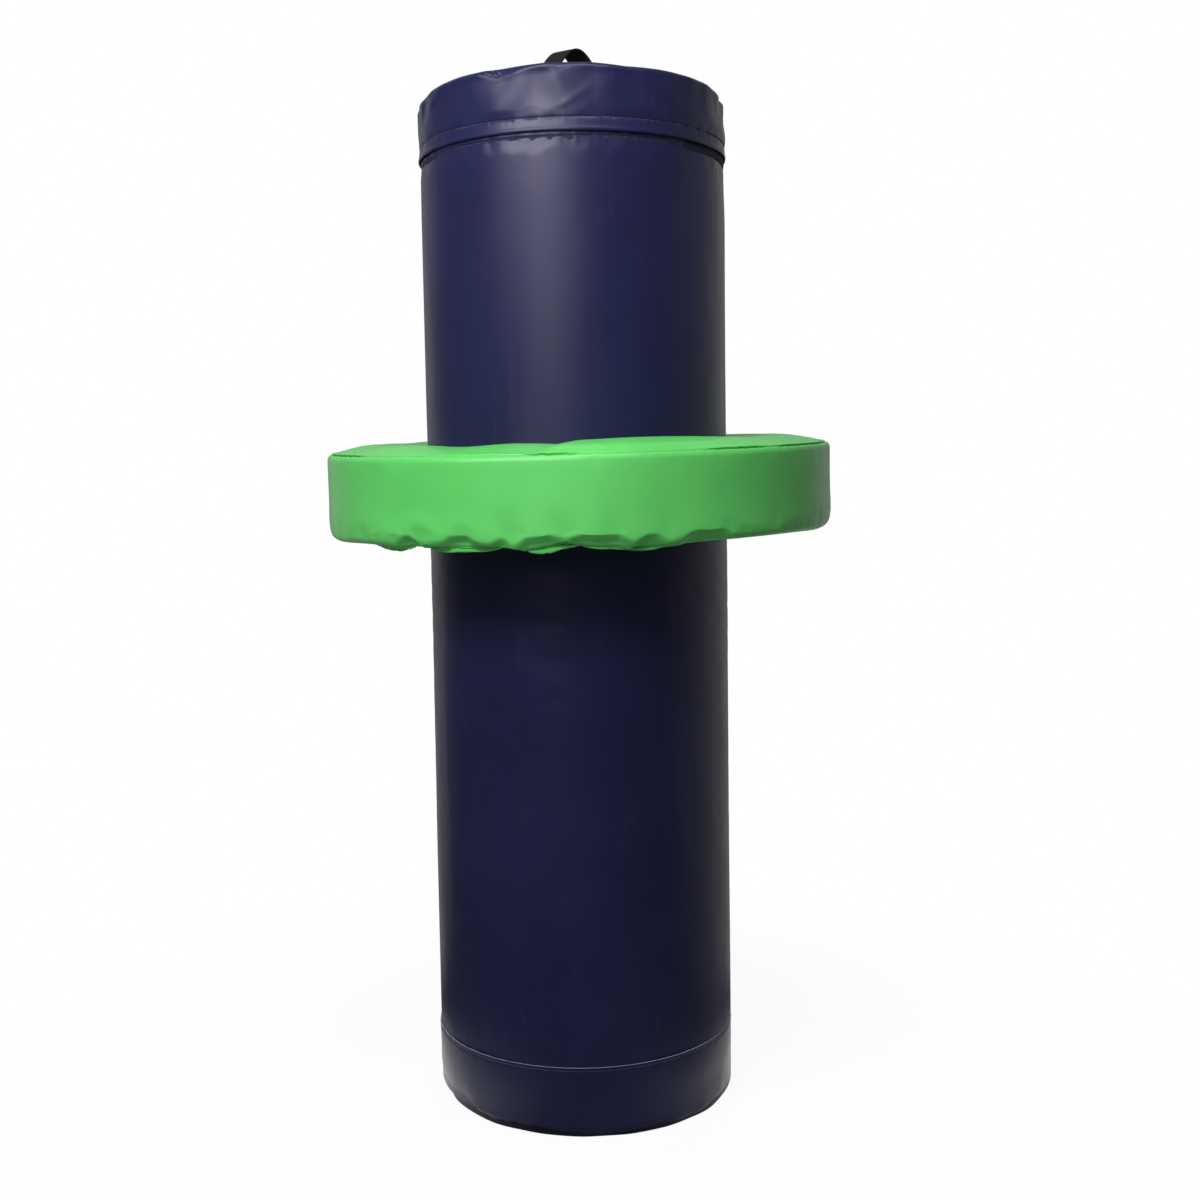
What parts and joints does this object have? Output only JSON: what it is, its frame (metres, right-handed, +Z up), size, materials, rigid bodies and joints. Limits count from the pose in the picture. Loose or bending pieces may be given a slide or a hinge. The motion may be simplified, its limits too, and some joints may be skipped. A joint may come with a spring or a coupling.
{
  "type": "tackling bag",
  "caption": "Free-standing round tackling bag of vinyl over foam, with a zip-off hinged lid, a webbing carry handle and a foam ring that slides and turns on the column.",
  "frame": {"origin": "middle of the base, on the ground", "axes": "+Z up along the bag; -Y is the front, and the lid's hinge strap is at the back, +Y"},
  "size_m": [0.7, 0.7, 1.4534],
  "materials": {
    "navy_vinyl": "satin PVC-coated fabric, navy",
    "base_vinyl": "heavier matt PVC-coated fabric, navy",
    "green_vinyl": "satin PVC-coated fabric, green",
    "black_webbing": "woven polypropylene webbing, black",
    "zip_tape": "woven polyester tape, navy",
    "zip_nylon": "nylon coil, dark",
    "zip_metal": "nickel-plated die-cast metal",
    "column_foam": "firm chip foam, grey",
    "wrap_foam": "softer cut foam, cream"
  },
  "bodies": {
    "bag": {"base_panel": "base_vinyl", "bottom_band": "navy_vinyl", "bag_cover": "navy_vinyl", "base_foam_pad": "column_foam", "foam_core": "column_foam", "foam_wrap": "wrap_foam", "hinge_patch": "navy_vinyl", "zip_tape_lower": "zip_tape", "zip_coil_lower": "zip_nylon", "zip_stop_right": "zip_metal", "zip_stop_left": "zip_metal"},
    "lid": {"lid_band": "navy_vinyl", "lid_panel": "navy_vinyl", "lid_foam_pad": "wrap_foam", "zip_tape_upper": "zip_tape", "zip_coil_upper": "zip_nylon", "carry_handle": "black_webbing"},
    "slider": {"zip_slider": "zip_metal"},
    "tab": {"pull_tab": "zip_metal"},
    "ring_carrier": {"ring_sleeve": "green_vinyl"},
    "ring": {"ring_outer_band": "green_vinyl", "ring_top_panel": "green_vinyl", "ring_bottom_panel": "green_vinyl", "ring_foam_upper": "wrap_foam", "ring_foam_lower": "wrap_foam"}
  },
  "joints": [
    {"name": "ring_slide", "type": "slide", "parent": "bag", "child": "ring_carrier", "axis": [0, 0, 1], "range_m": [-0.696, 0.343]},
    {"name": "ring_turn", "type": "hinge", "parent": "ring_carrier", "child": "ring", "pos_m": [0, 0, 0.8585], "axis": [0, 0, 1], "continuous": true},
    {"name": "lid_hinge", "type": "hinge", "parent": "bag", "child": "lid", "pos_m": [0, 0.2118, 1.30185], "axis": [-1, 0, 0], "range_deg": [0, 95]},
    {"name": "zip_travel", "type": "hinge", "parent": "bag", "child": "slider", "pos_m": [0, 0, 1.3106], "axis": [0, 0, -1], "range_deg": [0, 327.2]},
    {"name": "pull_tab_swing", "type": "hinge", "parent": "slider", "child": "tab", "pos_m": [0.05865, 0.19951, 1.3106], "axis": [0, 0, 1], "range_deg": [0, 175]}
  ]
}
